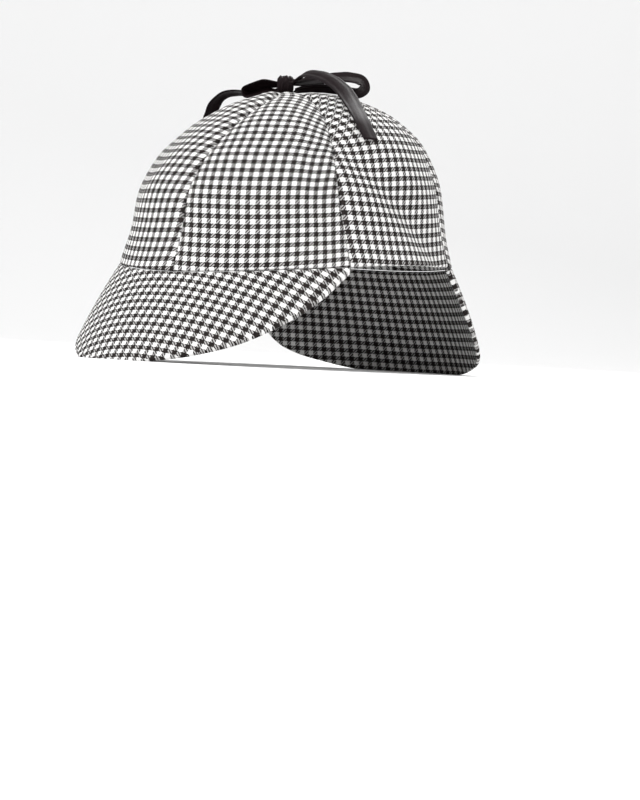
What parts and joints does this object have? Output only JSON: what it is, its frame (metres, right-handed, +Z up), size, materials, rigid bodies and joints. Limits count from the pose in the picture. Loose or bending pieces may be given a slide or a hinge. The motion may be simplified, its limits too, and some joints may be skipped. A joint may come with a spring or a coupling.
{
  "type": "deerstalker hat",
  "caption": "Checked cloth deerstalker hat with a gored crown, a stiffened peak front and back, and a satin ribbon bow tied on top.",
  "frame": {"origin": "middle of the hat's footprint, on the surface it rests on", "axes": "+Z up, -Y the way the wearer faces, +X the wearer's left"},
  "size_m": [0.1648, 0.2745, 0.1629],
  "materials": {
    "checked_cloth": "matt black and white shepherd's check twill",
    "satin_ribbon": "soft black satin"
  },
  "bodies": {
    "root": {"gore_front_left": "checked_cloth", "gore_side_left": "checked_cloth", "gore_back_left": "checked_cloth", "gore_back_right": "checked_cloth", "gore_side_right": "checked_cloth", "gore_front_right": "checked_cloth", "front_peak": "checked_cloth", "back_peak": "checked_cloth", "bow_knot": "satin_ribbon", "bow_loop_left": "satin_ribbon", "bow_loop_right": "satin_ribbon", "bow_tail_left": "satin_ribbon", "bow_tail_right": "satin_ribbon"}
  },
  "joints": []
}
